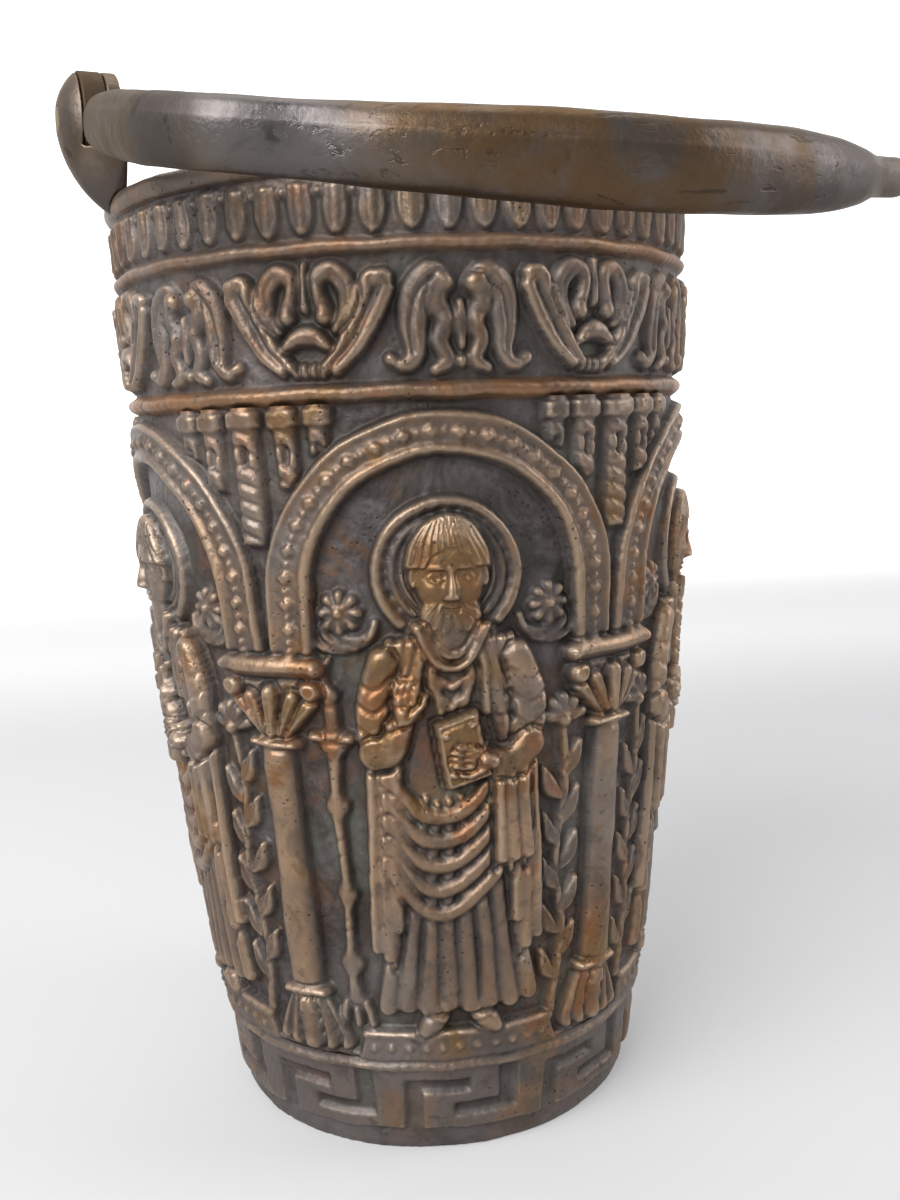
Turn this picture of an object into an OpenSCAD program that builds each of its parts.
// Holy water bucket: a tapered cast bronze pail with an arcade in relief round
// its wall, a let-in base, and a bail that swings in two forked ears.
// Millimetres. The pail stands on z = 0, the bail's pivot line runs along X,
// and the bail lies folded towards -Y on the stops of its ears.

/* [Wall] */
// Outer radius of the wall at the foot
foot_r = 41.7; // [36:0.1:48]
// Outer radius of the wall under the rim
mouth_r = 56.4; // [51:0.1:64]
// How far the wall swells outwards at half height
swell = 1.7; // [0.4:0.1:4]
// Thickness of the cast wall
wall_t = 3.6; // [2.6:0.1:5]
// Thickness of the let-in base
base_t = 3.5; // [2:0.1:5]
// Width of the ledge that the base seats on
ledge_w = 1.4; // [0.8:0.1:2]

/* [Bands, from the foot up] */
// Height of the plain foot
foot_h = 5; // [3:0.5:9]
// Height of the meander band
meander_h = 13; // [10:0.5:17]
// Height of the round ridge over the meander
low_ridge = 2.2; // [1.4:0.1:3]
// Height of the arcade
arcade_h = 121.3; // [110:0.1:140]
// Height of the round ridge over the arcade
mid_ridge = 3; // [1.8:0.1:4]
// Height of the leaf frieze
frieze_h = 20.5; // [16:0.5:26]
// Height of the round ridge over the frieze
top_ridge = 2.5; // [1.6:0.1:4]
// Height of the bead band under the rim
band_h = 10; // [7:0.5:14]
// Height of the rounded rim
rim_h = 4; // [3:0.1:6]
// How far the rim stands out of the wall
rim_out = 1.6; // [1:0.1:1.9]

/* [Arcade] */
// Number of bays
bays = 5; // [4:1:6]
// Angle of the first arch from the front
first_bay = -17; // [-36:1:36]
// Radius of the column shafts
shaft_r = 3.6; // [2.8:0.1:4.2]
// How far the columns' axes lie inside the face of the wall
shaft_in = 0.3; // [0:0.1:1]
// Height of the lobed column bases
col_base_h = 12.5; // [9:0.5:15]
// Half width of those bases
base_half = 8; // [6:0.1:8.5]
// Relief of the bases
base_relief = 2.8; // [2:0.1:3.2]
// Height of the leaf capitals without their abacus
capital_h = 12; // [9:0.5:14]
// Half width of the capitals at their top
capital_half = 8.6; // [6.5:0.1:9.5]
// Relief of the capitals
capital_relief = 3; // [2.2:0.1:3.4]
// Height of the abacus
abacus_h = 4; // [2.5:0.1:5]
// Half width of the abacus
abacus_half = 10.6; // [9:0.1:11.5]
// Relief of the abacus
abacus_relief = 3.5; // [2.6:0.1:4]
// Width of the arch band
arch_w = 7.6; // [6:0.1:9]
// Relief of the arch band
arch_relief = 1.6; // [0.8:0.1:2.4]
// Width of the fillets that edge the arch band
fillet_w = 2.1; // [1:0.1:2.4]
// Relief of those fillets over the arch band
fillet_relief = 0.8; // [0.4:0.1:1.2]
// Straight rise between capital and arch
stilt = 11; // [6:0.5:12]
// Gap between neighbouring arch bands
arch_gap = 0.6; // [0.4:0.1:2]
// Gap between the arch crown and the ridge
crown_gap = 1.5; // [0.5:0.1:4]

/* [Spandrels and frieze] */
// Half width of the middle tower between two arches
tower_half = 2.7; // [1.8:0.1:3]
// Relief of that tower
tower_relief = 2.2; // [1.2:0.1:2.6]
// Number of leaf cups round the frieze
cups = 7; // [5:1:8]
// Angle of the first cup from the front
first_cup = 12.2; // [0:0.1:40]
// Relief of the frieze leaves
leaf_relief = 1.7; // [1:0.1:2.4]

/* [Figures] */
// Height of the plinths that the figures stand on
plinth_h = 6; // [4:0.5:7]
// Relief of the plinths
plinth_relief = 1.7; // [1:0.1:2.2]
// Height of a figure, from its plinth to the top of its halo
figure_h = 100; // [92:0.5:102]
// Radius of the halo
halo_r = 13; // [11:0.1:13.8]
// Relief of the halo
halo_relief = 1.4; // [0.8:0.1:2]
// Half width of the head
head_half = 6.2; // [5.4:0.1:6.8]
// Relief of the head
crown_relief = 4.6; // [3.6:0.1:5.2]
// Relief of the robe
robe_relief = 2.5; // [2:0.1:3]
// Relief of the cloak over it
cloak_relief = 3.6; // [3.2:0.1:4]
// Relief of what the figures hold
held_relief = 5.1; // [4.9:0.1:5.6]
// Relief of the stands and plants beside the figures
field_relief = 1.6; // [1:0.1:2]

/* [Meander] */
// Keys in one bay
keys_per_bay = 2; // [1:1:2]
// Width of the meander's upright grooves
groove_up = 2.8; // [2:0.1:4]
// Width of the meander's level grooves
groove_level = 2.1; // [1.4:0.1:3]
// Relief of the meander
key_relief = 1.1; // [0.6:0.1:1.6]

/* [Ears and pins] */
// Height of the pivot above the rim
pivot_up = 12.9; // [11.5:0.1:16]
// Radius of the knuckle, eye and cheeks alike
knuckle_r = 8.3; // [7.6:0.1:9]
// How far the ears reach in over the rim
ear_inset = 2.7; // [1.5:0.1:3.6]
// Depth of the domed ear, from its inner face
ear_depth = 10.7; // [10:0.1:12]
// Radius of the curve that brings the ear down to the wall
corbel_r = 20; // [16:0.5:24]
// Half width of the ear's root
root_w = 8.8; // [8.6:0.1:10]
// Thickness of the inner cheek
cheek_t = 2.5; // [1.8:0.1:3]
// Radius of the pivot pins
pin_r = 2.2; // [1.6:0.1:2.8]
// Radius of the pins' peened heads
head_r = 3.4; // [3:0.1:4.2]
// Thickness of those heads
head_t = 1; // [0.6:0.1:1.6]

/* [Bail] */
// Thickness of the tongue in the fork
tongue_t = 4.2; // [3.4:0.1:4.8]
// How far each tongue runs into the strap
tongue_root = 3; // [2:0.5:4]
// Reach of the bail from its pivot line to the middle of its crown
bail_reach = 100.4; // [94:0.1:116]
// Thickness of the bail at its crown, inner face to outer face
strap_t = 8; // [7:0.1:9]
// Height of the bail at the ears
strap_end = 7.6; // [7:0.1:9]
// Height of the bail at its crown
strap_mid = 12; // [10:0.1:14]
// How far below level the folded bail lies
fold_angle = 14.2; // [8:0.1:18]

/* [Running gaps] */
// Running gap between pin and eye
pin_gap = 0.06; // [0.03:0.01:0.1]
// Gap each side of the tongue
side_gap = 0.12; // [0.08:0.01:0.3]
// Gap round the eye and round the cheeks
knuckle_gap = 0.4; // [0.3:0.05:0.6]
// Gap left at the stops
stop_gap = 0.08; // [0.05:0.01:0.2]

/* [Hidden] */
$fn = 96;

bronze = [0.42, 0.31, 0.22];
worn_bronze = [0.5, 0.38, 0.25];
dark_bronze = [0.3, 0.24, 0.19];

// Heights of the bands
z_key = foot_h;
z_low = z_key + meander_h;
z_arc = z_low + low_ridge;
z_mid = z_arc + arcade_h;
z_frieze = z_mid + mid_ridge;
z_top = z_frieze + frieze_h;
z_band = z_top + top_ridge;
z_rim = z_band + band_h;
height = z_rim + rim_h;

// Outer radius of the plain wall at a height
function wall_r(z) = foot_r + (mouth_r - foot_r) * z / height
    + 4 * swell * (z / height) * (1 - z / height);

// The wall's outline between two heights, moved outwards by off
function outline(z0, z1, off, steps) =
    [for (i = [0:steps]) let (z = z0 + (z1 - z0) * i / steps) [wall_r(z) + off, z]];
function backwards(pts) = [for (i = [len(pts) - 1:-1:0]) pts[i]];

disc_r = foot_r - wall_t + ledge_w;

// Arcade: half widths of the arch band, seen square on
pitch = 360 / bays;
arch_wall = wall_r(z_mid - crown_gap - 43);
arch_out = arch_wall * sin(pitch / 2) - arch_gap / 2;
arch_in = arch_out - arch_w;
arch_z = z_mid - crown_gap - arch_out;
capital_top = arch_z - stilt;
capital_foot = capital_top - abacus_h - capital_h;

// Figures: their foot, and the scale of their drawings
figure_z = z_arc + plinth_h;
figure_k = figure_h / 100;
function figure_up(y) = figure_z + y * figure_k;

// Pivot
rim_r = mouth_r + rim_out;
pivot_z = height + pivot_up;
ear_in = rim_r - ear_inset;
slot_in = ear_in + cheek_t;
tongue_in = slot_in + side_gap;
tongue_mid = tongue_in + tongue_t / 2;
slot_out = tongue_in + tongue_t + side_gap;
ear_out = ear_in + ear_depth;
pin_end = ear_in + sqrt(ear_depth * ear_depth - pin_r * pin_r) - 0.1;

module bays_round() {
    for (i = [0:bays - 1])
        rotate([0, 0, -90 + first_bay + i * pitch]) children();
}

// A skin of the wall between two heights, from just inside it to off outside
module skin(z0, z1, off, steps) {
    rotate_extrude()
        polygon(concat(outline(z0, z1, -0.7, steps),
                       backwards(outline(z0, z1, off, steps))));
}

// A point drawn x along the wall and z up it, as it is seen square on
function seen(x, z) = [wall_r(z) * sin(x / wall_r(z) * 180 / PI), z];

// A flat shape raised off the wall, its points x along the wall and z up it
module raised(off, pts) {
    z = [for (p = pts) p[1]];
    inside = -0.4 - 0.25 * off;
    z0 = min(z) - 1;
    z1 = max(z) + 1;
    intersection() {
        facing_out() polygon([for (p = pts) seen(p[0], p[1])]);
        rotate_extrude()
            polygon(concat(outline(z0, z1, inside, 1), backwards(outline(z0, z1, off, 1))));
    }
}

// A round raised off the wall
module raised_round(off, x, z, r) {
    inside = -0.4 - 0.25 * off;
    intersection() {
        facing_out() translate(seen(x, z)) circle(r = r);
        rotate_extrude()
            polygon(concat(outline(z - r - 1, z + r + 1, inside, 1),
                           backwards(outline(z - r - 1, z + r + 1, off, 1))));
    }
}

// Keeps only what stands out of the wall, and a little root in it
module outside(z0, z1) {
    difference() {
        children();
        rotate_extrude()
            polygon(concat([[0, z0]], outline(z0, z1, -0.8, 2), [[0, z1]]));
    }
}

// Stands a flat drawing up facing outwards along +X, its y turned to z
module facing_out(from = 30, to = 80) {
    translate([from, 0, 0]) rotate([90, 0, 90]) linear_extrude(height = to - from)
        children();
}

module plain_wall() {
    rotate_extrude() {
        polygon(concat(
            outline(0, height, 0, 6),
            [[mouth_r - wall_t, height]],
            backwards(outline(base_t, height - 12, -wall_t, 4)),
            [[disc_r, base_t], [disc_r, 0]]));
        ridge(z_low, low_ridge);
        ridge(z_mid, mid_ridge);
        ridge(z_top, top_ridge);
        intersection() {
            translate([mouth_r + rim_out - rim_h / 2, z_rim + rim_h / 2])
                circle(r = rim_h / 2);
            translate([mouth_r - wall_t / 2, z_rim]) square([wall_t, rim_h]);
        }
    }
}

// Half-round ridge of height h from z up
module ridge(z, h) {
    translate([wall_r(z + h / 2) + 0.2, z + h / 2]) circle(r = h / 2);
}

// Outline of an arch of half width r, its legs running below the abacus top by drop
module arch_shape(r, drop) {
    translate([0, arch_z]) circle(r = r);
    translate([-r, capital_top - drop]) square([2 * r, stilt + drop]);
}

module arch_ring(r0, r1) {
    difference() {
        arch_shape(r1, 1.2);
        arch_shape(r0, 3);
    }
}

module arches() {
    bays_round() intersection() {
        facing_out() arch_ring(arch_in, arch_out);
        skin(capital_top - 2.4, z_mid + 0.5, arch_relief, 2);
    }
    bays_round() intersection() {
        facing_out() {
            arch_ring(arch_in, arch_in + fillet_w);
            arch_ring(arch_out - fillet_w, arch_out);
        }
        skin(capital_top - 2.4, z_mid + 0.5, arch_relief + fillet_relief, 2);
    }
}

// Column shaft with a ring at its neck, leaning with the wall
module shaft() {
    z0 = z_arc + col_base_h * 0.6;
    z1 = capital_foot + 2;
    lean = atan((wall_r(z1) - wall_r(z0)) / (z1 - z0));
    r = shaft_r;
    outside(z0 - 4, z1 + 4)
        translate([wall_r(z0) - shaft_in, 0, z0]) rotate([0, lean, 0])
            rotate_extrude() polygon([
                [0, 0], [r + 0.1, 0], [r - 0.2, z1 - z0 - 3.2], [r + 0.5, z1 - z0 - 2.6],
                [r + 0.5, z1 - z0 - 1.2], [r, z1 - z0 - 0.6], [r, z1 - z0], [0, z1 - z0]]);
}

// Lobed base: it flares downwards from a ring into rounded leaves
module column_base() {
    w = base_half;
    h = col_base_h;
    z = z_arc;
    raised(base_relief, [
        [-0.5 * w, z + h], [-0.5 * w, z + 0.85 * h], [-0.62 * w, z + 0.62 * h],
        [-0.95 * w, z + 0.3 * h], [-w, z + 0.14 * h], [-0.86 * w, z + 0.05 * h],
        [-0.66 * w, z + 0.12 * h], [-0.5 * w, z - 0.03 * h], [-0.32 * w, z - 0.03 * h],
        [-0.2 * w, z + 0.1 * h], [0, z - 0.06 * h], [0.2 * w, z + 0.1 * h],
        [0.32 * w, z - 0.03 * h], [0.5 * w, z - 0.03 * h], [0.66 * w, z + 0.12 * h],
        [0.86 * w, z + 0.05 * h],
        [w, z + 0.14 * h], [0.95 * w, z + 0.3 * h], [0.62 * w, z + 0.62 * h],
        [0.5 * w, z + 0.85 * h], [0.5 * w, z + h]]);
}

// Leaf capital under a thick abacus with rounded ends
module capital() {
    w = capital_half;
    h = capital_h;
    z = capital_foot;
    raised(capital_relief, [
        [-0.42 * w, z], [0.42 * w, z], [0.55 * w, z + 0.35 * h], [0.86 * w, z + 0.68 * h],
        [w, z + 0.8 * h], [w, z + 0.94 * h], [0.9 * w, z + h + 0.5], [-0.9 * w, z + h + 0.5],
        [-w, z + 0.94 * h], [-w, z + 0.8 * h], [-0.86 * w, z + 0.68 * h],
        [-0.55 * w, z + 0.35 * h]]);
    a = abacus_half;
    t = capital_top;
    b = abacus_h;
    raised(abacus_relief, [
        [-a + 1, t - b], [a - 1, t - b], [a, t - 0.75 * b], [a, t - 0.25 * b], [a - 1, t],
        [-a + 1, t], [-a, t - 0.25 * b], [-a, t - 0.75 * b]]);
}

module columns() {
    rotate([0, 0, pitch / 2]) bays_round() {
        shaft();
        column_base();
        capital();
    }
}

// Towers in the spandrel between two arches
module spandrels() {
    w = tower_half;
    rotate([0, 0, pitch / 2]) bays_round() {
        tower(0, w, z_mid - 24, tower_relief);
        for (side = [-1, 1]) {
            tower(side * 2.8 * w, 0.78 * w, z_mid - 14.5, tower_relief - 0.4);
            tower(side * 5.05 * w, 0.66 * w, z_mid - 9, tower_relief - 0.7);
        }
    }
}

module tower(x, half, z0, off) {
    z1 = z_mid - 0.6;
    raised(off, [[x - half, z0], [x + half, z0], [x + half, z1], [x - half, z1]]);
}

// Leaf cups of the frieze, with leaning leaves between them
module frieze() {
    for (i = [0:cups - 1]) {
        rotate([0, 0, -90 + first_cup + i * 360 / cups]) leaf_cup();
        rotate([0, 0, -90 + first_cup + (i + 0.5) * 360 / cups]) leaf_pair();
    }
}

module leaf_cup() {
    k = frieze_h / 20.5;
    z = z_frieze;
    for (side = [-1, 1]) {
        // the great outer leaf and the hook inside it
        raised(leaf_relief, [for (p = [[2.4, 2.4], [4.6, 1.8], [8, 5], [13.6, 15], [13.2, 17.6],
                [10.6, 17], [5.6, 8]]) [side * p[0] * k, z + p[1] * k]]);
        raised(leaf_relief - 0.25, [for (p = [[4.6, 9], [7.4, 13], [7, 16.4], [4.6, 19],
                [1.8, 18], [2, 11]]) [side * p[0] * k, z + p[1] * k]]);
    }
}

module leaf_pair() {
    k = frieze_h / 20.5;
    z = z_frieze;
    for (side = [-1, 1])
        raised(leaf_relief, [for (p = [[10.4, 2], [8.6, 5], [7.6, 12], [6, 17], [3.4, 18.4],
                [1.4, 16.4], [2.4, 3]]) [side * p[0] * k, z + p[1] * k]]);
}

// Figures: a robed figure with a halo on a plinth, and what fills the field
// on both sides; each bay's figure holds something of its own
module figures() {
    for (i = [0:bays - 1])
        rotate([0, 0, -90 + first_bay + i * pitch]) {
            plinth();
            figure();
            if (i % 5 == 0 || i % 5 == 2) held_book();
            if (i % 5 == 1) held_branch();
            if (i % 5 == 3) held_scroll();
            if (i % 5 == 4) held_lamp();
            field_pieces(i % 2 == 0 ? 1 : -1);
        }
}

// A figure's own drawing: x and y on a figure that is 100 high
module drawn(off, pts) {
    raised(off, [for (p = pts) [p[0] * figure_k, figure_up(p[1])]]);
}

function both_sides(pts) = concat(pts, [for (i = [len(pts) - 1:-1:0]) [-pts[i][0], pts[i][1]]]);

module plinth() {
    w = 19 * figure_k;
    z = z_arc - 0.7;
    raised(plinth_relief, [[-w, z], [w, z], [w - 1.4, figure_z], [-w + 1.4, figure_z]]);
}

module figure() {
    k = figure_k;
    raised_round(halo_relief, 0, figure_up(86.6), halo_r * k);
    // robe with its wide hem
    drawn(robe_relief, both_sides([
        [0, 1], [7, 1], [7.4, 4], [14.6, 5], [12.8, 28], [12.4, 44], [13, 60], [9.4, 75.4],
        [4, 79], [0, 79.6]]));
    // cloak, from the shoulder round the bent arm to its hanging end
    for (side = [-1, 1]) drawn(cloak_relief, [for (p = [[3, 76.2], [9.2, 75], [13.8, 69.6],
        [16, 58], [15, 16], [10.8, 14], [9.6, 38], [8.4, 50.4], [2.6, 51.6], [3, 57.6],
        [8.4, 58]]) [side * p[0], p[1]]]);
    // head: an oval block with a smaller one in front
    drawn(crown_relief - 1.6, oval(86.4, head_half * 1.1, head_half * 1.4));
    drawn(crown_relief, oval(85.8, head_half * 0.78, head_half * 1.08));
}

function oval(y, w, h) = [for (i = [0:11]) [w * cos(30 * i + 15), y + h * sin(30 * i + 15)]];

module held_book() {
    drawn(held_relief, [[-1.4, 48.4], [6.2, 50.4], [4.2, 62.6], [-3.4, 60.6]]);
}

module held_branch() {
    drawn(held_relief - 0.2, [[0.8, 46], [2.6, 46], [5.8, 66], [3, 78.5], [-0.6, 66]]);
}

module held_scroll() {
    drawn(held_relief - 0.1, [[-7.8, 56], [8, 50], [9.2, 53.6], [-6.6, 59.8]]);
}

module held_lamp() {
    drawn(held_relief, [[1.8, 48.6], [3.6, 54], [1.6, 61.4], [-1.6, 61.4], [-3.6, 54],
        [-1.8, 48.6]]);
}

// Stand on one side and plant on the other
module field_pieces(side) {
    drawn(field_relief, [for (p = [[-1.3, 2], [1.3, 2], [1.3, 55], [3.2, 57], [1.4, 60], [0, 71],
        [-1.4, 60], [-3.2, 57], [-1.3, 55]]) [p[0] - side * field_x(p[1]), p[1]]]);
    drawn(field_relief - 0.3, [for (p = [[-1.2, 2], [1.2, 2], [1.4, 54], [3.4, 58], [0, 63],
        [-3.4, 58], [-1.4, 54]]) [p[0] + side * field_x(p[1]), p[1]]]);
}

// Middle of the field beside a figure, which narrows towards the foot
function field_x(y) = 20.2 * wall_r(figure_up(y)) / wall_r(figure_up(38));

// The two hooked grooves between one key and the next
module key_grooves(step, rise) {
    g = groove_up / 2;
    h = meander_h - 2 * rise;
    polygon([[step / 2 - g, -1], [step / 2 - g, 2 * rise],
             [step * 1.5 + g, 2 * rise], [step * 1.5 + g, rise + h],
             [step / 2 + g, rise + h], [step / 2 + g, -1]]);
    polygon([[step * 1.5 - g, h], [step * 1.5 - g, rise],
             [step * 2.5 - g, rise], [step * 2.5 - g, meander_h + 2],
             [step * 2.5 + g, meander_h + 2], [step * 2.5 + g, h]]);
}

// Running meander: a raised band with the grooves cut through it
module meander() {
    count = bays * keys_per_bay;
    step = wall_r(z_key + meander_h / 2) * sin(180 / count) * 2 / 3;
    level = (meander_h - 2 * groove_level) / 3;
    difference() {
        skin(z_key, z_low + low_ridge / 2, key_relief, 1);
        for (i = [0:count - 1])
            rotate([0, 0, -90 + first_bay + (i + 0.5) * 360 / count])
                facing_out() translate([-1.5 * step, z_key])
                    key_grooves(step, level + groove_level);
    }
}

module bucket_wall() {
    color(bronze) {
        plain_wall();
        arches();
        spandrels();
        columns();
        figures();
        frieze();
        meander();
    }
}

module base_disc() {
    color(dark_bronze) cylinder(r = disc_r, h = base_t);
}

// Where the ear may be: under the underside of a bail folded either way
strap_half = strap_end / 2;
function roof(w) = pivot_z - strap_half / cos(fold_angle)
    - w * tan(fold_angle) - stop_gap;

module roof_outline() {
    low = z_rim - 8;
    polygon([[-root_w, low], [root_w, low], [root_w, roof(root_w)],
             [0, roof(0)], [-root_w, roof(root_w)]]);
}

// The ear at +X: a knuckle fork that grows down over the rim on to the wall
module ear() {
    color(bronze) difference() {
        intersection() {
            translate([ear_in, 0, pivot_z]) rotate_extrude() intersection() {
                union() {
                    circle(r = ear_depth);
                    intersection() {
                        translate([ear_depth - corbel_r, 0]) circle(r = corbel_r);
                        translate([0, -40]) square([40, 40]);
                    }
                }
                translate([0, -40]) square([40, 80]);
            }
            facing_out(ear_in, ear_out + 5) {
                translate([0, pivot_z]) circle(r = knuckle_r);
                roof_outline();
            }
        }
        // the slot for the tongue, with a round seat and the two stops
        facing_out(slot_in, slot_out) difference() {
            translate([-20, z_rim - 8]) square([40, 60]);
            difference() {
                roof_outline();
                translate([0, pivot_z]) circle(r = knuckle_r + knuckle_gap);
            }
        }
        translate([ear_in - 1, 0, pivot_z]) rotate([0, 90, 0])
            cylinder(r = pin_r, h = ear_depth + 2);
        // the seat on the rim and the wall
        rotate_extrude() {
            polygon(concat([[0, z_rim - 20]], outline(z_rim - 20, height, 0, 2),
                           [[0, height]]));
            translate([mouth_r + rim_out - rim_h / 2, z_rim + rim_h / 2])
                circle(r = rim_h / 2);
        }
    }
}

module right_ear() ear();
module left_ear() mirror([1, 0, 0]) ear();

// Pin with a peened head inside; its outer end is dressed flush with the dome
module pin() {
    color(worn_bronze) translate([ear_in - head_t, 0, pivot_z]) rotate([0, 90, 0]) {
        cylinder(r = pin_r, h = pin_end - ear_in + head_t);
        cylinder(r1 = head_r - head_t * 0.6, r2 = head_r, h = head_t);
    }
}

module right_pin() pin();
module left_pin() mirror([1, 0, 0]) pin();

// The bow, from the right ear to the middle of its crown: across as a part of
// the half width, out as a part of the reach, thickness as a part of the
// crown's, and height from the ears' (0) to the crown's (1), right and left
bow_plan = [
    [1, 0.02, 0.58, 0, 0], [1, 0.102, 0.64, 0, 0], [1.012, 0.17, 0.75, 0.18, 0.4],
    [1.033, 0.34, 0.78, 0.18, 0.5], [1.046, 0.548, 0.75, 0, 0.5], [1.03, 0.697, 0.7, -0.18, 0.45],
    [0.946, 0.792, 0.65, -0.27, 0.41], [0.791, 0.837, 0.68, -0.23, 0.45],
    [0.683, 0.87, 0.98, 0.14, 0.59], [0.608, 0.896, 1.15, 0.41, 0.68],
    [0.517, 0.922, 1.15, 0.68, 0.77], [0.367, 0.956, 1.1, 0.91, 0.91],
    [0.2, 0.984, 1.05, 1, 1], [0, 1, 1, 1, 1]];
bow_last = len(bow_plan) - 1;
bow_steps = 3;
stations = 2 * bow_last * bow_steps;

function bow_point(i) = let (p = bow_plan[bow_last - abs(bow_last - i)],
        side = i <= bow_last ? 1 : -1)
    [side * p[0] * tongue_mid, -p[1] * bail_reach, p[2] * strap_t / 2,
     strap_end / 2 + (strap_mid - strap_end) / 2 * (side > 0 ? p[3] : p[4])];
function through(a, b, c, d, t) = (2 * b + (c - a) * t + (2 * a - 5 * b + 4 * c - d) * t * t
    + (3 * b - a - 3 * c + d) * t * t * t) / 2;
function bow(i) = i <= 0 ? bow_point(0) : i >= stations ? bow_point(2 * bow_last)
    : let (k = floor(i / bow_steps), t = i / bow_steps - k)
      through(bow_point(max(k - 1, 0)), bow_point(k), bow_point(min(k + 1, 2 * bow_last)),
              bow_point(min(k + 2, 2 * bow_last)), t);
function bow_out(i) = i <= 0 ? [1, 0] : i >= stations ? [-1, 0]
    : let (d = bow(i + 1) - bow(i - 1), e = [-d[1], d[0]]) e / norm(e);

// Section of the strap: flat inside, bevelled, with a full outer face
section = [[-1, 0.55], [-0.8, 0.86], [-0.3, 1], [0.25, 0.97], [0.68, 0.76], [0.96, 0.34],
           [0.96, -0.34], [0.68, -0.76], [0.25, -0.97], [-0.3, -1], [-0.8, -0.86],
           [-1, -0.55]];

module strap() {
    m = len(section);
    pts = [for (i = [0:stations]) for (s = section)
        let (p = bow(i), o = bow_out(i) * s[0] * p[2])
        [p[0] + o[0], p[1] + o[1], s[1] * p[3]]];
    sides = [for (i = [0:stations - 1]) for (j = [0:m - 1])
        let (a = i * m + j, b = i * m + (j + 1) % m)
        [a, b, b + m, a + m]];
    ends = [[for (j = [m - 1:-1:0]) j], [for (j = [0:m - 1]) stations * m + j]];
    polyhedron(points = pts, faces = concat(sides, ends), convexity = 6);
}

module eye_ends(r, inner, wide) {
    for (side = [0, 1]) mirror([side, 0, 0])
        translate([inner, 0, 0]) rotate([0, 90, 0]) cylinder(r = r, h = wide);
}

module bail_handle() {
    shoulder = knuckle_r + knuckle_gap;
    color(worn_bronze) translate([0, 0, pivot_z]) rotate([fold_angle, 0, 0]) difference() {
        union() {
            difference() {
                strap();
                eye_ends(shoulder, tongue_mid - 2 * tongue_t, 4 * tongue_t);
            }
            eye_ends(knuckle_r, tongue_in, tongue_t);
            for (side = [0, 1]) mirror([side, 0, 0])
                translate([tongue_in, -shoulder - tongue_root, -strap_half * 0.8])
                    cube([tongue_t, shoulder + tongue_root, strap_half * 1.6]);
        }
        eye_ends(pin_r + pin_gap, tongue_in - 1, tongue_t + 2);
    }
}

bucket_wall();
base_disc();
left_ear();
right_ear();
left_pin();
right_pin();
bail_handle();
